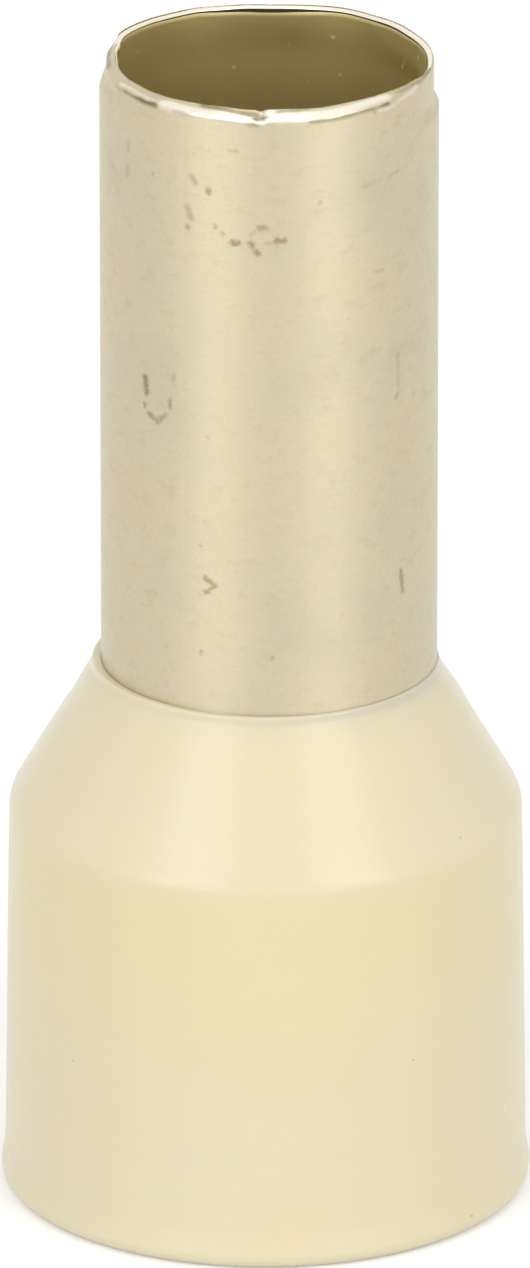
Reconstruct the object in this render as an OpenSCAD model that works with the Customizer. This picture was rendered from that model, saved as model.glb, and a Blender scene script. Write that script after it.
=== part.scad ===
// Insulated wire ferrule for a 35 mm2 stranded conductor.
// A thin tinned copper sleeve runs up through a moulded plastic collar. Its lower end is flared,
// and the flare lies in a conical seat inside the collar, so that the collar's funnel leads the bare
// strands into the sleeve without a ledge. The wire's insulation stops inside the collar's bore.
// The ferrule stands on the mouth of its collar, at z = 0, with its axis on Z.

/* [Sleeve] */
// Inside diameter of the sleeve
sleeve_bore_d = 8.15; // [6:0.05:9]
// Thickness of the sleeve's wall
sleeve_wall = 0.2; // [0.15:0.01:0.3]
// Length of the sleeve that stands out of the collar
sleeve_exposed = 16.25; // [8:0.05:30]

/* [Flare at the sleeve's lower end] */
// Angle between the flare and the axis
flare_angle = 32; // [20:1:40]
// Length of the flare, measured down its slope
flare_length = 2; // [1:0.1:2.4]
// Radius of the bend between the sleeve and its flare, on the outside
flare_bend = 2.4; // [0.5:0.1:3]

/* [Cut end of the sleeve] */
// Angle by which the cut has rolled the end inwards
lip_turn = 70; // [30:5:80]
// Radius of that bend, on the outside
lip_bend = 0.55; // [0.4:0.05:1]
// Length of the wall beyond the bend
lip_length = 0.05; // [0.04:0.01:0.3]

/* [Collar] */
// Length of the collar, from its mouth to the top of its neck
collar_length = 14; // [12:0.1:20]
// Outside diameter of the body at the mouth, without the bead
body_d = 13.38; // [13:0.02:16]
// Draft angle of the body, which is widest at the mouth
body_draft = 0.8; // [0:0.1:1.5]
// Height of the cone between the body and the neck
cone_height = 3.6; // [3:0.1:4.2]
// Radius of the shoulder between the body and the cone
shoulder_round = 1.2; // [0.2:0.1:2]
// Thickness of the body's wall at the mouth, inside the bead
body_wall = 0.44; // [0.35:0.01:1]
// Radius where the bore runs into the funnel
funnel_round = 0.6; // [0.1:0.1:1]

/* [Mouth of the collar] */
// How far the bead round the mouth stands out
bead_proud = 0.08; // [0.02:0.01:0.2]
// Height of the bead
bead_height = 0.75; // [0.5:0.05:1.5]
// Radius of the mouth's edges, inside and outside
mouth_round = 0.12; // [0.05:0.01:0.16]

/* [Neck of the collar] */
// Thickness of the collar's upper edge round the sleeve
neck_wall = 0.11; // [0.08:0.01:0.3]
// Height of the neck's straight outside, above the cone
neck_height = 0.2; // [0.1:0.05:0.5]
// Length of the neck's straight bore, above the flare's bend
neck_grip = 0.2; // [0.1:0.05:1]

/* [Fit of the sleeve in the collar] */
// Clearance between the collar and the sleeve
fit_gap = 0.01; // [0.005:0.005:0.05]
// Room that the seat leaves below the flare's edge
flare_room = 0.05; // [0.02:0.01:0.2]

/* [Hidden] */

// Straight steps in a rounded corner
CORNER_STEPS = 8;
$fn = 180;

sleeve_bore_r = sleeve_bore_d / 2;
sleeve_r = sleeve_bore_r + sleeve_wall;
sleeve_top = collar_length + sleeve_exposed;
edge_round = sleeve_wall / 5;

flare_z = collar_length - neck_grip - flare_bend * tan(flare_angle / 2);
seat_length = flare_length + flare_room;

// The rolled end's highest point, on its rounded outer edge, comes to the top of the sleeve.
lip_reach = lip_bend * tan(lip_turn / 2) + lip_length;
lip_z = sleeve_top - lip_reach * cos(lip_turn) + edge_round * (sin(lip_turn) + cos(lip_turn) - 1);

body_r = body_d / 2;
neck_base = collar_length - neck_height;
body_top = neck_base - cone_height;
bead_r = body_r + bead_proud;
collar_bore_r = body_r - body_wall;
neck_bore_r = sleeve_r + fit_gap;
neck_r = neck_bore_r + neck_wall;

// Profiles are lists of [radius, height, corner radius], walked round the section of a wall.

function unit(v) = v / norm(v);

// Point b, between its neighbours a and c, cut back to an arc of radius r.
function rounded_corner(a, b, c, r) =
    r <= 0 ? [b] :
    let (
        to_a = unit(a - b),
        to_c = unit(c - b),
        half = acos(to_a * to_c) / 2,
        centre = b + unit(to_a + to_c) * r / sin(half),
        first = b + to_a * r / tan(half) - centre,
        last = b + to_c * r / tan(half) - centre,
        from = atan2(first.y, first.x),
        sweep = (atan2(last.y, last.x) - from + 540) % 360 - 180
    )
    [for (i = [0:CORNER_STEPS])
        let (angle = from + sweep * i / CORNER_STEPS)
        centre + r * [cos(angle), sin(angle)]];

function rounded_outline(profile) =
    let (
        n = len(profile),
        points = [for (p = profile) [p.x, p.y]]
    )
    [for (i = [0:n - 1])
        each rounded_corner(points[(i + n - 1) % n], points[i], points[(i + 1) % n], profile[i][2])];

// The sleeve's wall is bent at both ends. Each side of it is a line with an offset: 0 on the
// sleeve's outside, negative on its inside, and positive on the collar's seat. The offsets of a
// bend share its centre.

// The flare's bend, and its end at a length down the slope.
function flare_corner(offset) =
    [sleeve_r + offset, flare_z + offset * tan(flare_angle / 2), flare_bend - offset];
function flare_end(offset, length) =
    [sleeve_r, flare_z]
    + length * [sin(flare_angle), -cos(flare_angle)]
    + offset * [cos(flare_angle), sin(flare_angle)];

// The rolled lip's bend and its end.
function lip_corner(offset) =
    [sleeve_r + offset, lip_z + offset * tan(lip_turn / 2), lip_bend + offset];
function lip_end(offset) =
    [sleeve_r, lip_z]
    + lip_reach * [-sin(lip_turn), cos(lip_turn)]
    + offset * [cos(lip_turn), sin(lip_turn)];

function cut(point, round) = [point.x, point.y, round];

// The outside of the body at a height.
function body_side(z) = body_r - z * tan(body_draft);

// Where the flare's slope, carried on from a point, comes to a radius.
function down_slope(point, r) = [r, point.y - (r - point.x) / tan(flare_angle)];

module revolved(profile) {
    rotate_extrude()
        polygon(rounded_outline(profile));
}

module metal_sleeve() {
    color([0.84, 0.80, 0.68])
        revolved([
            flare_corner(-sleeve_wall),
            cut(flare_end(-sleeve_wall, flare_length), 0),
            cut(flare_end(0, flare_length), 0),
            flare_corner(0),
            lip_corner(0),
            cut(lip_end(0), edge_round),
            cut(lip_end(-sleeve_wall), edge_round),
            lip_corner(-sleeve_wall),
        ]);
}

module plastic_collar() {
    funnel_edge = flare_end(-sleeve_wall, seat_length);
    color([0.93, 0.88, 0.73])
        revolved([
            [collar_bore_r, 0, mouth_round],
            [bead_r, 0, mouth_round],
            [bead_r, bead_height / 2, bead_height / 2],
            [body_side(bead_height), bead_height, bead_height / 2],
            [body_side(body_top), body_top, shoulder_round],
            [neck_r + neck_height * tan(body_draft), neck_base, neck_height / 2],
            [neck_r, collar_length, neck_wall / 2],
            [neck_bore_r, collar_length, 0],
            flare_corner(fit_gap),
            cut(flare_end(fit_gap, seat_length), 0),
            cut(funnel_edge, 0),
            cut(down_slope(funnel_edge, collar_bore_r), funnel_round),
        ]);
}

metal_sleeve();
plastic_collar();
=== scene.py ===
import logging
import math
from dataclasses import dataclass, field
from enum import Enum
from typing import Callable, Iterable, Optional, Sequence, Union

import bpy
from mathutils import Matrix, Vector, noise


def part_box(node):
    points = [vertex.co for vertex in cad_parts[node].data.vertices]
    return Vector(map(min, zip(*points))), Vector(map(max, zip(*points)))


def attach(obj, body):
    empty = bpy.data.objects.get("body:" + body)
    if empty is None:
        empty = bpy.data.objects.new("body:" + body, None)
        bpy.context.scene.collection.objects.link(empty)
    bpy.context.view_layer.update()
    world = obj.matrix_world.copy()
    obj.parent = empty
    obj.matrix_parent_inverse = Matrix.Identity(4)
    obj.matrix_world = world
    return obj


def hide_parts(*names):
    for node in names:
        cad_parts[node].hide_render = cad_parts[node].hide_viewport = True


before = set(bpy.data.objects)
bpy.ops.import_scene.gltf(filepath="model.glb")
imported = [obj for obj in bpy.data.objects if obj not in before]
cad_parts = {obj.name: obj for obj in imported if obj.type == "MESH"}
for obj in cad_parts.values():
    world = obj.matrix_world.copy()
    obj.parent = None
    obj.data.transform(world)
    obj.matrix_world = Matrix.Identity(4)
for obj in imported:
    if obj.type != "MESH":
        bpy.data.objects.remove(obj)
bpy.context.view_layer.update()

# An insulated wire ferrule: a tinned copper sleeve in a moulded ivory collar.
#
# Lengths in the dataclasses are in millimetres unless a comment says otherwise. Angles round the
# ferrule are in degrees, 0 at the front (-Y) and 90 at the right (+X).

log = logging.getLogger("ferrule")

MM = 0.001
FULL_TURN = 2 * math.pi
MERGE_DISTANCE = 0.0005  # millimetres within which points of a mesh become one
SHORTEST_RUN = 0.01  # millimetres, of a mark that is a dot
HAIR = 0.001  # a length or a share that is too small to matter
SAME_ANGLE = 1e-6  # degrees

Colour = tuple[float, float, float]
Point = tuple[float, float]
Value = Union["Shade", float, int, Sequence[float]]


def srgb(red: int, green: int, blue: int) -> Colour:
    """Turns a colour as a screen shows it into the linear one that shaders take.

    Args:
        red: Red from 0 to 255.
        green: Green from 0 to 255.
        blue: Blue from 0 to 255.

    Returns:
        The linear colour.
    """

    def linear(level: int) -> float:
        """One channel of the colour."""
        part = level / 255
        return part / 12.92 if part <= 0.04045 else ((part + 0.055) / 1.055) ** 2.4

    return linear(red), linear(green), linear(blue)


def smoothstep(low: float, high: float, value: float) -> float:
    """Rises smoothly from 0 at low to 1 at high."""
    part = min(max((value - low) / (high - low), 0.0), 1.0)
    return part * part * (3 - 2 * part)


def bump_round(angle: float, centre: float, width: float) -> float:
    """A soft bump of height 1 round the ferrule, with angles in degrees and a width to its foot."""
    off = abs((angle - centre + 180) % 360 - 180)
    return 1 - smoothstep(0, width, off)


# --- shader maths -------------------------------------------------------------------------------


class Shade:
    """A shader socket that takes part in plain arithmetic."""

    def __init__(self, sheet: "Sheet", socket: bpy.types.NodeSocket) -> None:
        """Wraps a socket of a sheet."""
        self.sheet = sheet
        self.socket = socket

    def __add__(self, other: Value) -> "Shade":
        """Sum."""
        return self.sheet.maths("ADD", self, other)

    __radd__ = __add__

    def __sub__(self, other: Value) -> "Shade":
        """Difference."""
        return self.sheet.maths("SUBTRACT", self, other)

    def __rsub__(self, other: Value) -> "Shade":
        """Difference from a number."""
        return self.sheet.maths("SUBTRACT", other, self)

    def __mul__(self, other: Value) -> "Shade":
        """Product."""
        return self.sheet.maths("MULTIPLY", self, other)

    __rmul__ = __mul__


class Sheet:
    """The node tree of one material or of the world."""

    def __init__(self, tree: bpy.types.NodeTree) -> None:
        """Empties the tree."""
        self.tree = tree
        tree.nodes.clear()

    def node(
        self,
        kind: str,
        settings: Optional[dict] = None,
        inputs: Optional[dict] = None,
        output: Union[str, int] = 0,
    ) -> Shade:
        """Adds a node of any type.

        Args:
            kind: The node's type, without its ShaderNode prefix.
            settings: Properties that are set first.
            inputs: Values or shades for its sockets, by name or number.
            output: The socket that is handed back.

        Returns:
            The chosen output.
        """
        made = self.tree.nodes.new("ShaderNode" + kind)
        for name, value in (settings or {}).items():
            setattr(made, name, value)
        for name, value in (inputs or {}).items():
            socket = made.inputs[name]
            if isinstance(value, Shade):
                self.tree.links.new(value.socket, socket)
            elif socket.type == "RGBA" and len(value) == 3:
                socket.default_value = (*value, 1.0)
            else:
                socket.default_value = value
        return Shade(self, made.outputs[output]) if len(made.outputs) else Shade(self, None)

    def maths(self, operation: str, *values: Value) -> Shade:
        """A Math node on numbers or shades."""
        return self.node("Math", {"operation": operation}, dict(enumerate(values)))

    def vector(self, operation: str, *values: Value, output: Union[str, int] = 0) -> Shade:
        """A Vector Math node on vectors or shades."""
        return self.node("VectorMath", {"operation": operation}, dict(enumerate(values)), output)

    def spread(self, value: Shade, low: float, high: float, to_low: float, to_high: float) -> Shade:
        """Maps a range onto another, clamped, with a soft start and end.

        Args:
            value: What is mapped.
            low: Start of its range.
            high: End of its range.
            to_low: Result at the start.
            to_high: Result at the end.

        Returns:
            The mapped value.
        """
        return self.node(
            "MapRange",
            {"interpolation_type": "SMOOTHSTEP"},
            {0: value, 1: low, 2: high, 3: to_low, 4: to_high},
        )

    def mix(self, share: Value, first: Value, second: Value) -> Shade:
        """Mixes two colours by a share."""
        return self.node(
            "Mix", {"data_type": "RGBA"}, {0: share, 6: first, 7: second}, output=2
        )

    def cloud(self, place: Shade, scale: float, detail: float = 3.0, rough: float = 0.5) -> Shade:
        """Noise from 0 to 1 about a half.

        Args:
            place: Where it is read.
            scale: Waves in a unit of the place's own length.
            detail: How many finer layers it has.
            rough: How strong the finer layers are.

        Returns:
            The noise.
        """
        return self.node(
            "TexNoise",
            inputs={"Vector": place, "Scale": scale, "Detail": detail, "Roughness": rough},
        )

    def place(self) -> Shade:
        """Object coordinates, in metres."""
        return self.node("TexCoord", output="Object")

    def attribute(self, name: str) -> Shade:
        """A value stored on the mesh."""
        return self.node("Attribute", {"attribute_name": name}, output="Fac")


def new_material(name: str) -> tuple[bpy.types.Material, Sheet]:
    """Makes a material with an empty sheet."""
    material = bpy.data.materials.new(name)
    material.use_nodes = True
    return material, Sheet(material.node_tree)


# --- finishes -----------------------------------------------------------------------------------


@dataclass(frozen=True)
class Mark:
    """A short scuff or stain on the sleeve, as a stroke between two places on its wall."""

    start: Point  # angle, height
    end: Point  # angle, height
    width: float  # of the stroke, to its faded edge
    depth: float  # 1 is the darkest


@dataclass(frozen=True)
class TinPlate:
    """Satin tin plating over copper, with faint mottling, fine lines round it and a few scuffs."""

    name: str = "tin plating"
    colour: Colour = srgb(207, 197, 168)
    warm: Colour = srgb(207, 195, 165)
    cool: Colour = srgb(203, 195, 168)
    stain: Colour = srgb(150, 128, 98)
    # Painted highlight colour for the rim, over burnished metal.
    bright: Colour = srgb(246, 238, 220)
    # Painted shade colour for the rim's creases and just inside its cut edge.
    painted_shade: Colour = srgb(92, 80, 52)
    roughness: float = 0.42
    radius: float = 4.275  # of the sleeve, for the marks' places
    axis_shift: float = 0.09
    bump_strength: float = 0.45
    bump_depth: float = 0.01
    mark_wobble: float = 0.16  # by which the outline of a mark strays
    mark_fade: float = 1.25  # widths of a mark at which it has faded out
    marks: tuple[Mark, ...] = ()

    def material(self) -> bpy.types.Material:
        """Builds the material."""
        material, sheet = new_material(self.name)
        place = sheet.place()
        parts = sheet.node("SeparateXYZ", inputs={0: place})
        x, y, z = (Shade(sheet, parts.socket.node.outputs[i]) for i in range(3))
        across = sheet.maths("ARCTAN2", x - self.axis_shift * MM, 0 - y) * self.radius
        height = z * (1 / MM)
        wall = sheet.node("CombineXYZ", inputs={0: across, 1: height, 2: 0.0})
        blotches = sheet.cloud(place, 420, 2.0)
        patches = sheet.cloud(sheet.node("Mapping", inputs={0: place, 3: (1.0, 1.0, 1.8)}), 1900, 3.0)
        lines = sheet.cloud(sheet.node("Mapping", inputs={0: place, 3: (1.0, 1.0, 9.0)}), 1500, 3.0)
        draws = sheet.cloud(sheet.node("Mapping", inputs={0: place, 3: (1.0, 1.0, 0.06)}), 2600, 2.0)
        grain = sheet.cloud(place, 9000, 2.0)
        mark = self._marks(sheet, wall)
        colour = sheet.mix(sheet.spread(blotches, 0.35, 0.65, 0.0, 1.0), self.warm, self.cool)
        colour = sheet.mix(sheet.spread(patches, 0.4, 0.7, 0.0, 0.6), colour, self.colour)
        colour = sheet.mix(sheet.spread(lines, 0.5, 0.8, 0.0, 0.06), colour, self.stain)
        colour = sheet.mix(sheet.spread(patches, 0.5, 0.75, 0.0, 0.12), colour, self.stain)
        colour = sheet.mix(sheet.spread(blotches, 0.55, 0.8, 0.0, 0.08), colour, self.stain)
        colour = sheet.mix(sheet.spread(grain, 0.5, 0.75, 0.0, 0.07), colour, self.stain)
        colour = sheet.mix(mark, colour, self.stain)
        # Painted highlight, over burnished metal, on the rim's lip and cut edge.
        highlight_burnish_mask = sheet.attribute("bright")
        # Painted shade in the lip's creases and along the cut edge.
        painted_shade = sheet.attribute("dirty") * sheet.spread(patches, 0.3, 0.6, 0.6, 1.0)
        colour = sheet.mix(highlight_burnish_mask, colour, self.bright)
        colour = sheet.mix(painted_shade, colour, self.painted_shade)
        rough = self.roughness + (patches - 0.5) * 0.14 + (grain - 0.5) * 0.1 + mark * 0.15
        rough = rough - highlight_burnish_mask * 0.15
        relief = grain * 0.3 + lines * 0.2 + draws * 0.5 + patches * 1.4 - mark * 1.6
        bump = sheet.node(
            "Bump",
            inputs={
                "Strength": self.bump_strength,
                "Distance": self.bump_depth * MM,
                "Height": relief,
            },
        )
        shader = sheet.node(
            "BsdfPrincipled",
            inputs={
                "Base Color": colour,
                "Metallic": 1.0,
                "Roughness": rough,
                "Anisotropic": 0.5,
                "Anisotropic Rotation": 0.25,
                "Normal": bump,
            },
        )
        sheet.node("OutputMaterial", inputs={0: shader})
        return material

    def _marks(self, sheet: Sheet, wall: Shade) -> Shade:
        """Lays all the marks over each other.

        Args:
            sheet: The material's sheet.
            wall: The place on the wall, as a distance round it and a height.

        Returns:
            The strength of the strongest mark, from 0 to 1.
        """
        drift = sheet.node("TexNoise", inputs={"Vector": wall, "Scale": 9.0, "Detail": 1.0}, output=1)
        wobble = sheet.node(
            "VectorMath",
            {"operation": "SCALE"},
            {0: sheet.vector("SUBTRACT", drift, (0.5, 0.5, 0.5)), 3: self.mark_wobble},
        )
        wall = sheet.vector("ADD", wall, wobble)
        total: Optional[Shade] = None
        for mark in self.marks:
            strength = self._stroke(sheet, wall, mark)
            total = strength if total is None else sheet.maths("MAXIMUM", total, strength)
        return total if total is not None else sheet.node("Value")

    def _stroke(self, sheet: Sheet, wall: Shade, mark: Mark) -> Shade:
        """Draws one mark, faded at the edge.

        Args:
            sheet: The material's sheet.
            wall: The place on the wall, as a distance round it and a height.
            mark: The mark.

        Returns:
            Its strength, from 0 to 1.
        """
        start = Vector((math.radians(mark.start[0]) * self.radius, mark.start[1], 0))
        end = Vector((math.radians(mark.end[0]) * self.radius, mark.end[1], 0))
        run = end - start
        if run.length < SHORTEST_RUN:
            run = Vector((SHORTEST_RUN, 0, 0))
        away = sheet.vector("SUBTRACT", wall, tuple(start))
        along = sheet.vector("DOT_PRODUCT", away, tuple(run / run.length_squared), output="Value")
        held = sheet.node("Clamp", inputs={0: along})
        foot = sheet.node("VectorMath", {"operation": "SCALE"}, {0: tuple(run), 3: held})
        reach = sheet.vector("DISTANCE", away, foot, output="Value")
        return sheet.spread(reach, 0.0, mark.width * self.mark_fade, mark.depth, 0.0)


@dataclass(frozen=True)
class SleeveInside:
    """The duller tin inside the tube."""

    name: str = "tin inside"
    colour: Colour = srgb(203, 187, 128)
    dull: Colour = srgb(190, 168, 114)
    # Painted shade colour just inside, below the cut edge.
    painted_shade: Colour = srgb(66, 55, 32)
    speck: Colour = srgb(246, 236, 200)
    roughness: float = 0.5

    def material(self) -> bpy.types.Material:
        """Builds the material."""
        material, sheet = new_material(self.name)
        place = sheet.place()
        clouds = sheet.cloud(place, 900, 3.0)
        dots = sheet.cloud(place, 3000, 1.0)
        colour = sheet.mix(sheet.spread(clouds, 0.3, 0.7, 0.0, 0.3), self.colour, self.dull)
        colour = sheet.mix(sheet.spread(dots, 0.71, 0.80, 0.0, 0.8), colour, self.speck)
        # Painted shade just inside the tube, below the cut edge.
        colour = sheet.mix(sheet.attribute("dirty"), colour, self.painted_shade)
        shader = sheet.node(
            "BsdfPrincipled",
            inputs={
                "Base Color": colour,
                "Metallic": 0.75,
                "Roughness": self.roughness + (clouds - 0.5) * 0.2,
            },
        )
        sheet.node("OutputMaterial", inputs={0: shader})
        return material


@dataclass(frozen=True)
class IvoryPlastic:
    """Satin moulded plastic, a little translucent, with a faint unevenness of colour and surface."""

    name: str = "ivory plastic"
    colour: Colour = srgb(226, 216, 184)
    deep: Colour = srgb(227, 215, 181)
    # The warm colour and its band of heights are painted light: a warmer tint below the shoulder for the
    # light that warms the plastic there.
    warm: Colour = srgb(230, 216, 172)
    lit_tint_band: tuple[float, float, float, float] = (3.0, 8.6, 9.6, 10.6)  # heights
    speck: Colour = srgb(150, 140, 104)
    roughness: float = 0.24
    bump_strength: float = 0.2
    bump_depth: float = 0.02
    translucence: float = 0.35
    light_depth: float = 0.8  # that light reaches into the plastic

    def material(self) -> bpy.types.Material:
        """Builds the material."""
        material, sheet = new_material(self.name)
        place = sheet.place()
        clouds = sheet.cloud(place, 260, 2.0)
        dimples = sheet.cloud(place, 2400, 3.0)
        fine = sheet.cloud(place, 12000, 2.0)
        specks = sheet.cloud(place, 3600, 1.0)
        colour = sheet.mix(sheet.spread(clouds, 0.35, 0.65, 0.0, 1.0), self.colour, self.deep)
        # Painted light: a warmer tint, by height, in a band below the shoulder.
        height = sheet.node("SeparateXYZ", inputs={0: place}, output=2) * (1 / MM)
        foot, full, fade, top = self.lit_tint_band
        lit_tint = sheet.spread(height, foot, full, 0.0, 0.7) * sheet.spread(height, fade, top, 1.0, 0.0)
        colour = sheet.mix(lit_tint, colour, self.warm)
        colour = sheet.mix(sheet.spread(specks, 0.8, 0.84, 0.0, 0.5), colour, self.speck)
        relief = dimples * 0.5 + fine * 0.2 + clouds * 2.0
        bump = sheet.node(
            "Bump",
            inputs={
                "Strength": self.bump_strength,
                "Distance": self.bump_depth * MM,
                "Height": relief,
            },
        )
        shader = sheet.node(
            "BsdfPrincipled",
            inputs={
                "Base Color": colour,
                "Roughness": self.roughness + (dimples - 0.5) * 0.12,
                "IOR": 1.49,
                "Subsurface Weight": self.translucence,
                "Subsurface Radius": (1.0, 0.8, 0.45),
                "Subsurface Scale": self.light_depth * MM,
                "Normal": bump,
            },
        )
        sheet.node("OutputMaterial", inputs={0: shader})
        return material


# --- turned pieces ------------------------------------------------------------------------------


def arc(centre: Point, radius: float, start: float, end: float, steps: int) -> list[Point]:
    """Draws an arc of the section.

    Args:
        centre: Its centre.
        radius: Its radius.
        start: Angle of its first point, in degrees from the radial direction.
        end: Angle of its last point.
        steps: Straight steps in it.

    Returns:
        Its points.
    """
    return [
        (
            centre[0] + radius * math.cos(math.radians(start + (end - start) * i / steps)),
            centre[1] + radius * math.sin(math.radians(start + (end - start) * i / steps)),
        )
        for i in range(steps + 1)
    ]


def rounded(path: Sequence[tuple[float, float, float]], closed: bool, steps: int = 8) -> list[Point]:
    """Rounds the corners of a section.

    Args:
        path: Corners as radius, height and corner radius.
        closed: Whether the last corner joins the first.
        steps: Straight steps in a rounded corner.

    Returns:
        The section's points.
    """
    points: list[Point] = []
    count = len(path)
    for i, (r, z, corner) in enumerate(path):
        ends = not closed and i in (0, count - 1)
        if ends or corner <= 0:
            points.append((r, z))
            continue
        here = Vector((r, z))
        before = (Vector(path[(i - 1) % count][:2]) - here).normalized()
        after = (Vector(path[(i + 1) % count][:2]) - here).normalized()
        half = before.angle(after) / 2
        centre = here + (before + after).normalized() * (corner / math.sin(half))
        first = here + before * (corner / math.tan(half)) - centre
        last = here + after * (corner / math.tan(half)) - centre
        start = math.degrees(math.atan2(first.y, first.x))
        sweep = (math.degrees(math.atan2(last.y, last.x)) - start + 540) % 360 - 180
        points += arc(tuple(centre), corner, start, start + sweep, steps)
    return points


def refined(points: Sequence[Point], longest: float) -> list[Point]:
    """Splits the section's long straight stretches into even steps.

    Args:
        points: The section.
        longest: The longest step that stays.

    Returns:
        The section with the new points.
    """
    split: list[Point] = [points[0]]
    for (r0, z0), (r1, z1) in zip(points, points[1:]):
        pieces = max(1, math.ceil(math.hypot(r1 - r0, z1 - z0) / longest))
        split += [(r0 + (r1 - r0) * i / pieces, z0 + (z1 - z0) * i / pieces) for i in range(1, pieces + 1)]
    return split


class TurnedPiece:
    """A piece made by drawing its section and spinning it round the axis."""

    def __init__(self, name: str, section: Sequence[Point], segments: int, closed: bool) -> None:
        """Draws and spins the section.

        Args:
            name: The piece's name.
            section: Points of radius and height.
            segments: Steps round the axis.
            closed: Whether the section closes on itself.
        """
        self.name = name
        bpy.ops.object.select_all(action="DESELECT")
        first = section[0]
        bpy.ops.mesh.primitive_plane_add(size=MM, location=(0, 0, 0))
        self.object = bpy.context.object
        self.object.name = name
        self.object.data.name = name
        bpy.ops.object.mode_set(mode="EDIT")
        bpy.ops.mesh.select_all(action="SELECT")
        bpy.ops.mesh.merge(type="CENTER")
        bpy.ops.transform.translate(value=(first[0] * MM, 0, first[1] * MM))
        path = list(section[1:]) + ([first] if closed else [])
        last = first
        for r, z in path:
            step = ((r - last[0]) * MM, 0, (z - last[1]) * MM)
            bpy.ops.mesh.extrude_region_move(TRANSFORM_OT_translate={"value": step})
            last = (r, z)
        bpy.ops.mesh.select_all(action="SELECT")
        bpy.ops.mesh.spin(
            steps=segments, angle=FULL_TURN, center=(0, 0, 0), axis=(0, 0, 1), use_normal_flip=False
        )
        bpy.ops.mesh.select_all(action="SELECT")
        bpy.ops.mesh.remove_doubles(threshold=MERGE_DISTANCE * MM)
        bpy.ops.mesh.normals_make_consistent(inside=False)
        bpy.ops.object.mode_set(mode="OBJECT")

    def reshape(self, move: Callable[[float, float, float], tuple[float, float, float]]) -> None:
        """Moves every point of the mesh.

        Args:
            move: Takes an angle in degrees, a radius and a height, and returns a radius, a
                height and a shift to the right, all in millimetres.
        """
        for vertex in self.object.data.vertices:
            x, y, z = (c / MM for c in vertex.co)
            angle = math.degrees(math.atan2(x, -y))
            r, height, shift = move(angle, math.hypot(x, y), z)
            turn = math.radians(angle)
            vertex.co = Vector((shift + r * math.sin(turn), -r * math.cos(turn), height)) * MM
        self.object.data.update()

    def record(self, name: str, value: Callable[[float, float, float], float]) -> None:
        """Stores a value at every point of the mesh.

        Args:
            name: The attribute's name.
            value: Takes an angle in degrees, a radius and a height in millimetres.
        """
        layer = self.object.data.attributes.new(name, "FLOAT", "POINT")
        for vertex, entry in zip(self.object.data.vertices, layer.data):
            x, y, z = (c / MM for c in vertex.co)
            entry.value = value(math.degrees(math.atan2(x, -y)), math.hypot(x, y), z)

    def smooth(self, angle: float) -> None:
        """Shades it smooth, with edges sharper than an angle in degrees left sharp."""
        bpy.ops.object.select_all(action="DESELECT")
        self.object.select_set(True)
        bpy.context.view_layer.objects.active = self.object
        bpy.ops.object.shade_smooth_by_angle(angle=math.radians(angle))


# --- the ferrule --------------------------------------------------------------------------------


@dataclass
class Fit:
    """How the sleeve sits in the collar."""

    shift: float = 0.09  # of the sleeve to the right of the collar's axis
    straight_from: float = 13.8  # height above which the whole shift shows
    starts_at: float = 12.2

    def at(self, height: float) -> float:
        """The sleeve's shift at a height."""
        return self.shift * smoothstep(self.starts_at, self.straight_from, height)


@dataclass(frozen=True)
class Bend:
    """How the wall's end is bent at one angle round the sleeve."""

    angle: float
    inset: float  # of the cut edge from the full radius
    turn: float  # degrees, inwards
    step: float  # inset of the wall below the bend
    step_from: float = 28.8  # heights between which the wall steps in
    step_to: float = 30.1


@dataclass(frozen=True)
class Streak:
    """A streak along the rolled lip, of painted highlight over burnished metal, or of painted shade."""

    angles: Point  # from and to
    outs: Point  # distances beyond the crease at its two ends, negative below it
    width: float
    strength: float


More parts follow.
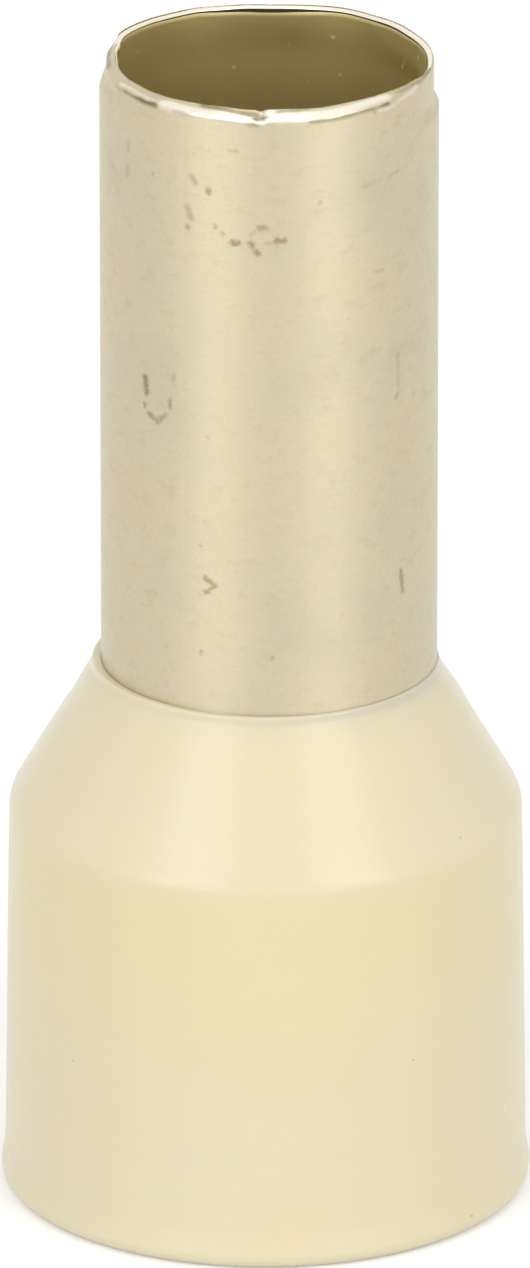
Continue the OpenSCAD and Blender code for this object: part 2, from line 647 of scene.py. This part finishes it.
@dataclass
class Rim:
    """The cut end: rolled in at the front, stepped on the left and pinched on the right.

    Heights on the raw wall stand for how far along the bent wall a place lies: up to the bend
    below a third of the way, round it up to two thirds, and out along the lip beyond.
    """

    radius: float = 4.275
    wall: float = 0.2
    edge_wall: float = 0.18
    top: float = 30.25
    starts: float = 28.7
    rings: int = 42
    softness: float = 0.1  # radius of the bend
    edge_round: float = 0.05
    least_inset: float = 0.03
    sink: float = 0.02  # of the cut edge below the top
    sink_waves: float = 0.03
    least_sink: float = 0.005
    wave_scale: float = 4.5
    nicks: tuple[tuple[float, float, float], ...] = ((0.05, -3, 2.5), (0.02, -9, 9))
    bends: tuple[Bend, ...] = (
        Bend(-180, 0.16, 20, 0.10),
        Bend(-150, 0.07, 20, 0.04),
        Bend(-118, 0.06, 25, 0.03),
        Bend(-104, 0.33, 60, 0.12, 29.3, 30.0),
        Bend(-90, 0.44, 68, 0.18, 29.45, 30.0),
        Bend(-60, 0.42, 78, 0.08, 29.6, 30.05),
        Bend(-38, 0.40, 76, 0.0, 29.6, 30.1),
        Bend(-20, 0.40, 66, 0.0, 29.6, 30.1),
        Bend(0, 0.40, 60, 0.0, 29.4, 29.9),
        Bend(20, 0.39, 66, 0.0, 29.3, 29.7),
        Bend(42, 0.37, 76, 0.0, 29.2, 29.5),
        Bend(60, 0.30, 72, 0.07, 29.05, 29.25),
        Bend(75, 0.17, 45, 0.12, 29.02, 29.17),
        Bend(92, 0.16, 25, 0.13, 29.02, 29.17),
        Bend(120, 0.14, 20, 0.10, 28.9, 29.6),
        Bend(150, 0.07, 20, 0.04),
        Bend(180, 0.16, 20, 0.10),
    )
    # Streaks of painted highlight, over burnished metal, on the lip and round the back of the rim.
    bright: tuple[Streak, ...] = (
        Streak((-38, -10), (0.10, 0.08), 0.20, 1.0),
        Streak((-12, 2), (0.04, 0.06), 0.09, 0.8),
        Streak((-1, 1), (0.30, 0.34), 0.10, 0.9),
        Streak((4, 44), (0.12, 0.16), 0.20, 1.0),
        Streak((-64, -44), (0.05, 0.08), 0.07, 0.5),
        Streak((40, 62), (-0.16, 0.0), 0.07, 0.4),
        Streak((100, 178), (0.1, 0.1), 0.4, 0.9),
        Streak((-180, -112), (0.1, 0.1), 0.4, 0.9),
    )
    # Streaks of painted shade in the lip's creases and along the cut edge.
    dirty: tuple[Streak, ...] = (
        Streak((-67, -42), (-0.10, -0.03), 0.06, 0.75),
        Streak((-34, -4), (-0.03, -0.04), 0.05, 0.35),
        Streak((-24, -4), (0.36, 0.26), 0.12, 0.6),
        Streak((-4, -3), (0.12, 0.16), 0.10, 0.8),
        Streak((14, 44), (-0.03, -0.06), 0.05, 0.55),
        Streak((38, 44), (-0.10, -0.05), 0.06, 0.7),
        Streak((2, 14), (0.34, 0.38), 0.08, 0.4),
        Streak((52, 78), (0.12, 0.05), 0.10, 0.35),
        Streak((-110, -84), (0.02, 0.02), 0.12, 0.45),
    )

    def bend(self, angle: float) -> Bend:
        """The bend at any angle, eased between the nearest ones that are given."""
        reached = (i for i, bend in enumerate(self.bends) if bend.angle >= angle - SAME_ANGLE)
        after = max(next(reached, len(self.bends) - 1), 1)
        one, two = self.bends[after - 1], self.bends[after]
        share = smoothstep(one.angle, two.angle, angle)

        def eased(name: str) -> float:
            """One value between the two bends."""
            return getattr(one, name) * (1 - share) + getattr(two, name) * share

        names = ("inset", "turn", "step", "step_from", "step_to")
        return Bend(angle, *(eased(name) for name in names))

    def _waves(self, angle: float) -> float:
        """Small unevenness of the cut end."""
        turn = math.radians(angle)
        return noise.noise(Vector((math.sin(turn), math.cos(turn), 0.3)) * self.wave_scale)

    def crease(self, bend: Bend) -> tuple[float, float]:
        """Works out the bend's corner.

        Args:
            bend: The bend.

        Returns:
            The corner's height, and the length of the lip beyond it.
        """
        lean = math.radians(bend.turn)
        reach = max(bend.inset - bend.step, self.least_inset) / math.sin(lean)
        nick = sum(deep * bump_round(bend.angle, at, width) for deep, at, width in self.nicks)
        sink = self.sink + self.sink_waves * self._waves(bend.angle)
        return self.top - max(sink, self.least_sink) - nick - reach * math.cos(lean), reach

    def place(self, angle: float, along: float, depth: float) -> Point:
        """A place on the bent wall.

        Args:
            angle: Degrees round the sleeve.
            along: From 0, where the rim starts, to 1 at the cut edge.
            depth: 0 on the outside and 1 on the inside.

        Returns:
            The radius and the height.
        """
        bend = self.bend(angle)
        crease, reach = self.crease(bend)
        lean = math.radians(bend.turn)
        half = math.tan(lean / 2)
        thin = depth * (self.wall - (self.wall - self.edge_wall) * smoothstep(0.1, 0.7, along))
        length = max(reach - thin * half, 0.02)
        corner = crease - thin * half
        tangent = min(max(self.softness - thin, 0.04) * half, length * 0.8)
        soft = tangent / half

        def straight(height: float) -> float:
            """Radius of the stepped wall at a height."""
            return self.radius - thin - bend.step * smoothstep(bend.step_from, bend.step_to, height)

        if along < 1 / 3:
            height = self.starts + (corner - tangent - self.starts) * along * 3
            return straight(height), height
        inner = straight(corner)
        if along < 2 / 3:
            swing = lean * (along * 3 - 1)
            return inner - soft * (1 - math.cos(swing)), corner - tangent + soft * math.sin(swing)
        out = tangent + (length - tangent) * (along * 3 - 2)
        return inner - out * math.sin(lean), corner + out * math.cos(lean)

    def edge(self, angle: float, depth: float) -> Point:
        """A place on the cut edge, slightly rounded between the outside and the inside."""
        lean = math.radians(self.bend(angle).turn)
        outer, inner = self.place(angle, 1.0, 0.0), self.place(angle, 1.0, 1.0)
        proud = self.edge_round * math.sqrt(max(0.0, 1 - (2 * depth - 1) ** 2)) - self.edge_round
        return (
            outer[0] + (inner[0] - outer[0]) * depth - proud * math.sin(lean),
            outer[1] + (inner[1] - outer[1]) * depth + proud * math.cos(lean),
        )

    def out(self, angle: float, along: float) -> float:
        """How far beyond the crease a place lies, negative below it."""
        crease, reach = self.crease(self.bend(angle))
        if along < 1 / 3:
            return (crease - self.starts) * (along * 3 - 1) - self.softness / 2
        if along < 2 / 3:
            return self.softness * (along * 3 - 1.5)
        return self.softness / 2 + (reach - self.softness / 2) * (along * 3 - 2)

    def strength(self, streaks: Sequence[Streak], angle: float, out: float) -> float:
        """How strong the streaks are at a place on the lip, from 0 to 1.

        Args:
            streaks: The streaks of painted highlight, or those of painted shade.
            angle: Degrees round the sleeve.
            out: Distance beyond the crease.

        Returns:
            The strength of the strongest.
        """
        strongest = 0.0
        for streak in streaks:
            start, end = streak.angles
            share = min(max((angle - start) / (end - start), 0.0), 1.0)
            away = math.radians(angle - (start + (end - start) * share)) * self.radius
            rise = out - (streak.outs[0] + (streak.outs[1] - streak.outs[0]) * share)
            rise += 0.02 * noise.noise(Vector((angle / 4, out * 3, 0)))
            reach = math.hypot(away * 0.5, rise)
            strongest = max(strongest, streak.strength * (1 - smoothstep(0.3, 1.0, reach / streak.width)))
        return strongest


@dataclass
class Sleeve:
    """The tinned copper tube, with its hidden flare and its rolled cut end."""

    fit: Fit
    rim: Rim = field(default_factory=Rim)
    radius: float = 4.275
    wall: float = 0.2
    flare_angle: float = 32.0
    flare_length: float = 2.0
    flare_bend: float = 2.4
    inside_from: float = 0.6  # share of the wall's depth
    outside_to: float = 0.1  # share of the wall's depth
    edge_from: float = 0.99  # share of the rim's length
    # Beyond this angle from the front, the cut edge gets a painted highlight.
    edge_highlight_from: float = 80.0  # degrees to either side of the front
    # Painted shade inside the tube, rising towards the cut edge.
    inner_shade: float = 0.85
    inner_shade_rise: Point = (0.35, 0.9)  # shares of the rim's length
    segments: int = 360
    bottom: float = field(default_factory=lambda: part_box("metal_sleeve")[0][2] / MM)
    top: float = field(default_factory=lambda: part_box("metal_sleeve")[1][2] / MM)

    def __post_init__(self) -> None:
        """Works out where the flare bends."""
        flare = math.radians(self.flare_angle)
        self.flare_z = self.bottom + self.flare_length * math.cos(flare) + self.wall * math.sin(flare)

    def _side(self, depth: float) -> list[Point]:
        """One side of the wall, upwards: the flare, the straight tube and the raw rim."""
        flare = math.radians(self.flare_angle)
        inset = self.wall * depth
        end = (
            self.radius + self.flare_length * math.sin(flare) - inset * math.cos(flare),
            self.flare_z - self.flare_length * math.cos(flare) - inset * math.sin(flare),
        )
        corner = self.flare_z - inset * math.tan(flare / 2)
        path = [
            (*end, 0.0),
            (self.radius - inset, corner, self.flare_bend + inset),
            (self.radius - inset, self.rim.starts, 0.0),
        ]
        rise = (self.top - self.rim.starts) / self.rim.rings
        rings = [
            (self.radius - inset, self.rim.starts + rise * i) for i in range(1, self.rim.rings + 1)
        ]
        return refined(rounded(path, closed=False, steps=10), 0.5) + rings

    def section(self) -> list[Point]:
        """The whole wall's section, up the outside, over the cut edge and down the inside."""
        edge = [(self.radius - self.wall * i / 6, self.top) for i in range(1, 6)]
        return self._side(0.0) + edge + self._side(1.0)[::-1]

    def rolled(self, angle: float, r: float, z: float) -> tuple[float, float, float]:
        """Bends the raw rim and settles the sleeve in the collar.

        Args:
            angle: Degrees round the sleeve.
            r: Radius of the raw wall.
            z: Height of the raw wall.

        Returns:
            The new radius and height, and the sleeve's shift.
        """
        shift = self.fit.at(z)
        if z <= self.rim.starts + HAIR:
            return r, z, shift
        depth = min(max((self.radius - r) / self.wall, 0.0), 1.0)
        along = (z - self.rim.starts) / (self.top - self.rim.starts)
        if along > 1 - HAIR:
            return (*self.rim.edge(angle, depth), shift)
        return (*self.rim.place(angle, along, round(depth)), shift)

    def _lip(self, r: float, z: float) -> tuple[float, float]:
        """How far along the rim and how deep in the wall a raw place lies."""
        depth = min(max((self.radius - r) / self.wall, 0.0), 1.0)
        return (z - self.rim.starts) / (self.top - self.rim.starts), depth

    def bright(self, angle: float, r: float, z: float) -> float:
        """How much painted highlight, over burnished metal, a raw place has."""
        along, depth = self._lip(r, z)
        if along < 0 or (depth > self.inside_from and along < self.edge_from):
            return 0.0
        on_edge = along > self.edge_from and depth > self.outside_to
        if on_edge and abs(angle) > self.edge_highlight_from:
            return 1.0
        out = self.rim.out(angle, along)
        return self.rim.strength(self.rim.bright, angle, out)

    def dirty(self, angle: float, r: float, z: float) -> float:
        """How much painted shade a raw place has: in its creases, and inside below the edge."""
        along, depth = self._lip(r, z)
        if along < 0:
            return 0.0
        if depth > self.inside_from:
            if along >= self.edge_from:
                return 0.0
            return self.inner_shade * smoothstep(*self.inner_shade_rise, along)
        return self.rim.strength(self.rim.dirty, angle, self.rim.out(angle, along))

    def build(self, plating: TinPlate, inside: SleeveInside) -> bpy.types.Object:
        """Builds and dresses the sleeve.

        Args:
            plating: Finish of its outside.
            inside: Finish of its inside.

        Returns:
            The finished piece.
        """
        piece = TurnedPiece("sleeve", self.section(), self.segments, closed=True)
        # Painted highlight and painted shade on the rim, stored at each point.
        piece.record("bright", self.bright)
        piece.record("dirty", self.dirty)
        piece.reshape(self.rolled)
        piece.smooth(50)
        self._dress(piece.object, plating, inside)
        return piece.object

    def _dress(self, piece: bpy.types.Object, plating: TinPlate, inside: SleeveInside) -> None:
        """Gives the outside and the inside their finishes."""
        piece.data.materials.append(plating.material())
        piece.data.materials.append(inside.material())
        for face in piece.data.polygons:
            outward = face.normal.x * face.center.x + face.normal.y * face.center.y
            facing_in = outward < 0 and face.normal.z < 0.3
            face.material_index = 1 if facing_in else 0


@dataclass
class Collar:
    """The moulded collar: bead, drafted body, shoulder, cone, neck, bore, funnel and seat."""

    fit: Fit
    sleeve: Sleeve
    body_radius: float = 6.69
    draft: float = 0.8
    wall: float = 0.44
    bead_proud: float = 0.08
    bead_height: float = 0.75
    bead_blend: float = 1.5
    foot_round: float = 0.32
    mouth_round: float = 0.12
    cone_height: float = 3.6
    shoulder_round: float = 0.95
    funnel_round: float = 0.6
    neck_height: float = 0.2
    neck_wall: float = 0.13
    gap: float = 0.01
    seat_room: float = 0.05
    segments: int = 256
    proud: float = 0.12  # rise of the cone and the neck above the solid's
    bore_from: float = 12.0  # height above which the bore follows the sleeve
    unevenness: float = 0.012
    wave_height: float = 7.0
    wave_scale: float = 1.7
    top: float = field(default_factory=lambda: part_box("plastic_collar")[1][2] / MM)

    def __post_init__(self) -> None:
        """Raises the neck."""
        self.top += self.proud

    def section(self) -> list[Point]:
        """The section of the whole wall."""
        flare = math.radians(self.sleeve.flare_angle)
        bore = self.body_radius - self.wall
        neck_bore = self.sleeve.radius + self.gap
        neck = neck_bore + self.neck_wall
        neck_base = self.top - self.neck_height
        body_top = neck_base - self.cone_height

        def side(height: float) -> float:
            """The drafted body's radius at a height."""
            return self.body_radius - height * math.tan(math.radians(self.draft))

        def slope(offset: float, length: float) -> Point:
            """A place down the flare's slope, at an offset from the sleeve's outside."""
            return (
                self.sleeve.radius + length * math.sin(flare) + offset * math.cos(flare),
                self.sleeve.flare_z - length * math.cos(flare) + offset * math.sin(flare),
            )

        seat_length = self.sleeve.flare_length + self.seat_room
        seat = slope(self.gap, seat_length)
        edge = slope(-self.sleeve.wall, seat_length)
        foot = edge[1] - (bore - edge[0]) / math.tan(flare)
        bend = self.sleeve.flare_z + self.gap * math.tan(flare / 2)
        path = [
            (bore, 0.0, self.mouth_round),
            (self.body_radius + self.bead_proud, 0.0, self.foot_round),
            (self.body_radius + self.bead_proud, self.bead_height / 2, self.bead_height / 2),
            (side(self.bead_height + 0.2), self.bead_height + 0.2, self.bead_blend),
            (side(body_top), body_top, self.shoulder_round),
            (neck + 0.01, neck_base, 0.25),
            (neck, self.top, 0.06),
            (neck_bore, self.top, 0.0),
            (neck_bore, bend, self.sleeve.flare_bend - self.gap),
            (*seat, 0.0),
            (*edge, 0.0),
            (bore, foot, self.funnel_round),
        ]
        return refined(rounded(path, closed=True), 0.6)

    def settled(self, angle: float, r: float, z: float) -> tuple[float, float, float]:
        """The neck's bore follows the sleeve, and the outside is a little uneven.

        Args:
            angle: Degrees round the collar.
            r: Radius of the even wall.
            z: Height of the even wall.

        Returns:
            The new radius, height and shift.
        """
        turn = math.radians(angle)
        spot = Vector((math.sin(turn), math.cos(turn), z / self.wave_height)) * self.wave_scale
        uneven = self.unevenness * noise.noise(spot) * smoothstep(0.8, 2.0, z) * smoothstep(14, 13, z)
        reach = self.sleeve.radius + self.gap + HAIR + max(0, self.fit.straight_from - z)
        in_bore = z > self.bore_from and r < reach
        return r - abs(uneven), z, self.fit.at(z) if in_bore else 0.0

    def build(self, plastic: IvoryPlastic) -> bpy.types.Object:
        """Builds and dresses the collar.

        Args:
            plastic: Its finish.

        Returns:
            The finished piece.
        """
        piece = TurnedPiece("collar", self.section(), self.segments, closed=True)
        piece.reshape(self.settled)
        piece.smooth(40)
        piece.object.data.materials.append(plastic.material())
        return piece.object


# --- the studio ---------------------------------------------------------------------------------


class Side(Enum):
    """The lamps' places, as angles round the ferrule from the front."""

    LEFT = -36.5
    RIGHT = 40.0


@dataclass
class Studio:
    """A white table in a soft white tent, two tall soft lamps, and the camera."""

    tent_level: float = 0.6
    table_colour: float = 0.86
    table_lift: float = 0.26  # of the table where it is looked at, up to plain white
    table_radius: float = 3.0  # metres
    table_drop: float = 0.02  # below the ferrule's foot
    lamp_radiance: float = 1.85
    lamp_distance: float = 0.6  # metres
    lamp_width: float = 0.35  # metres
    lamp_top: float = 1.0  # metres
    ceiling_radiance: float = 1.2
    ceiling_size: float = 0.6  # metres
    ceiling_height: float = 1.1  # metres
    camera_distance: float = 0.5  # metres
    camera_elevation: float = 21.0  # degrees
    sensor: float = 36.0  # the longer side of the film
    view_height: float = 32.2318  # that fills the picture from its foot to its top
    aim: tuple[float, float, float] = (-0.015, 0.0, 14.7)

    def build(self) -> None:
        """Builds the whole studio."""
        self._world()
        self._table()
        for side in Side:
            self._lamp(side)
        self._ceiling()
        self._camera()

    @staticmethod
    def _looked_at(sheet: Sheet) -> Shade:
        """1 for what the camera sees, also in a reflection or through glass, and 0 for light."""
        path = sheet.node("LightPath").socket.node.outputs
        rays = ("Is Camera Ray", "Is Glossy Ray", "Is Transmission Ray")
        seen, shiny, clear = (Shade(sheet, path[ray]) for ray in rays)
        return sheet.maths("MAXIMUM", sheet.maths("MAXIMUM", seen, shiny), clear)

    def _world(self) -> None:
        """A white tent, seen as plain white."""
        world = bpy.data.worlds.new("tent")
        bpy.context.scene.world = world
        world.use_nodes = True
        sheet = Sheet(world.node_tree)
        strength = self.tent_level + self._looked_at(sheet) * (1.0 - self.tent_level)
        background = sheet.node("Background", inputs={0: (1.0, 1.0, 1.0), 1: strength})
        sheet.node("OutputWorld", inputs={0: background})

    def _table(self) -> None:
        """A white table top that still takes the ferrule's shadow."""
        bpy.ops.object.select_all(action="DESELECT")
        bpy.ops.mesh.primitive_circle_add(
            vertices=96,
            radius=self.table_radius,
            fill_type="NGON",
            location=(0, 0, -self.table_drop * MM),
        )
        table = bpy.context.object
        table.name = "table"
        material, sheet = new_material("white table")
        paper = sheet.node("BsdfDiffuse", inputs={0: (self.table_colour,) * 3})
        glow = self._looked_at(sheet) * self.table_lift
        lift = sheet.node("Emission", inputs={0: (1.0, 1.0, 1.0), 1: glow})
        both = sheet.node("AddShader", inputs={0: paper, 1: lift})
        sheet.node("OutputMaterial", inputs={0: both})
        table.data.materials.append(material)

    def _lamp(self, side: Side) -> None:
        """A tall soft lamp that stands on the table, on one side of the camera."""
        lamp = bpy.data.lights.new(f"lamp {side.name.lower()}", "AREA")
        lamp.shape = "RECTANGLE"
        lamp.size, lamp.size_y = self.lamp_width, self.lamp_top
        lamp.energy = self.lamp_radiance * math.pi * self.lamp_width * self.lamp_top
        holder = bpy.data.objects.new(lamp.name, lamp)
        bpy.context.scene.collection.objects.link(holder)
        turn = math.radians(side.value)
        across, along = math.sin(turn), -math.cos(turn)
        holder.location = (
            self.lamp_distance * across,
            self.lamp_distance * along,
            self.lamp_top / 2,
        )
        holder.rotation_euler = Vector((-across, -along, 0)).to_track_quat("-Z", "Y").to_euler()

    def _ceiling(self) -> None:
        """A soft square lamp overhead."""
        lamp = bpy.data.lights.new("lamp ceiling", "AREA")
        lamp.shape = "SQUARE"
        lamp.size = self.ceiling_size
        lamp.energy = self.ceiling_radiance * math.pi * self.ceiling_size**2
        holder = bpy.data.objects.new(lamp.name, lamp)
        bpy.context.scene.collection.objects.link(holder)
        holder.location = (0, 0, self.ceiling_height)

    def _camera(self) -> None:
        """A long lens from the front, looking down on the ferrule."""
        camera = bpy.data.cameras.new("camera")
        camera.sensor_width = self.sensor
        camera.lens = self.sensor * self.camera_distance / (self.view_height * MM)
        camera.clip_start, camera.clip_end = 0.01, 20.0
        holder = bpy.data.objects.new("camera", camera)
        bpy.context.scene.collection.objects.link(holder)
        tilt = math.radians(self.camera_elevation)
        back = Vector((0, -math.cos(tilt), math.sin(tilt)))
        holder.location = Vector(self.aim) * MM + back * self.camera_distance
        holder.rotation_euler = (math.pi / 2 - tilt, 0, 0)
        bpy.context.scene.camera = holder


MARKS: tuple[Mark, ...] = (
    # a curved stain on the left
    Mark((-46.7, 22.76), (-46.2, 22.34), 0.13, 0.85),
    Mark((-47.0, 22.0), (-47.0, 21.97), 0.10, 0.7),
    Mark((-45.0, 21.8), (-41.0, 21.65), 0.11, 0.65),
    Mark((-41.0, 21.65), (-37.5, 21.9), 0.11, 0.55),
    Mark((-35.5, 22.3), (-35.7, 22.15), 0.10, 0.6),
    Mark((-34.2, 22.98), (-34.4, 22.8), 0.09, 0.3),
    # scuffs high on the front
    Mark((-28.6, 27.55), (-27.4, 27.3), 0.13, 0.45),
    Mark((-28.6, 27.06), (-28.4, 27.05), 0.11, 0.6),
    Mark((-26.9, 28.38), (-25.7, 28.25), 0.12, 0.45),
    Mark((-20.8, 28.10), (-20.7, 28.05), 0.11, 0.7),
    Mark((-18.7, 27.17), (-18.3, 27.15), 0.09, 0.5),
    Mark((-15.9, 26.98), (-15.6, 26.98), 0.09, 0.5),
    Mark((-12.4, 26.78), (-10.4, 26.76), 0.12, 0.8),
    Mark((-3.3, 27.19), (-1.3, 27.19), 0.12, 0.55),
    Mark((-6.4, 26.8), (-5.6, 26.72), 0.12, 0.8),
    Mark((-4.4, 26.58), (-3.6, 26.53), 0.12, 0.8),
    Mark((-6.2, 27.0), (-5.0, 27.08), 0.07, 0.3),
    Mark((2.6, 26.85), (4.9, 26.85), 0.12, 0.8),
    Mark((-0.6, 26.8), (2.6, 26.86), 0.07, 0.3),
    Mark((-13.4, 29.21), (-10.8, 29.21), 0.08, 0.3),
    # a small hooked scuff on the front
    Mark((-22.0, 17.71), (-18.5, 17.55), 0.10, 0.7),
    Mark((-18.5, 17.55), (-22.0, 17.33), 0.10, 0.65),
    # short upright scuffs on the right
    Mark((51.0, 17.45), (52.0, 16.9), 0.11, 0.65),
    Mark((49.0, 23.3), (49.5, 22.2), 0.10, 0.2),
    Mark((48.5, 22.2), (48.5, 22.16), 0.09, 0.45),
    # scattered specks
    Mark((-23.9, 15.7), (-23.8, 15.7), 0.08, 0.5),
    Mark((1.1, 15.68), (1.2, 15.68), 0.08, 0.5),
    Mark((-24.0, 18.6), (-23.9, 18.6), 0.08, 0.3),
    Mark((-21.5, 21.5), (-21.4, 21.5), 0.08, 0.3),
    Mark((-55.6, 28.80), (-55.7, 28.62), 0.13, 0.25),
    Mark((-56.2, 28.16), (-56.3, 27.96), 0.13, 0.25),
    Mark((-43.1, 28.27), (-43.0, 28.26), 0.08, 0.4),
    Mark((33.0, 28.06), (41.0, 28.12), 0.08, 0.15),
    Mark((45.0, 28.16), (49.0, 28.18), 0.08, 0.2),
    Mark((17.2, 27.82), (17.6, 27.82), 0.08, 0.35),
    Mark((38.6, 25.7), (41.4, 25.7), 0.08, 0.3),
)


def main() -> None:
    """Builds the ferrule and its studio, and reports each piece."""
    logging.basicConfig(level=logging.INFO, format="%(message)s")
    bpy.context.scene.view_settings.view_transform = "Standard"
    fit = Fit()
    sleeve = Sleeve(fit)
    collar = Collar(fit, sleeve)
    pieces = {
        "metal_sleeve": (sleeve.build(TinPlate(marks=MARKS), SleeveInside()), "tinned_copper"),
        "plastic_collar": (collar.build(IvoryPlastic()), "ivory_plastic"),
    }
    for node, (piece, slot) in pieces.items():
        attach(piece, "root")
        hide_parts(node)
        log.info("%s stands for %s, %d faces", piece.name, node, len(piece.data.polygons))
    Studio().build()


if __name__ == "__main__":
    main()
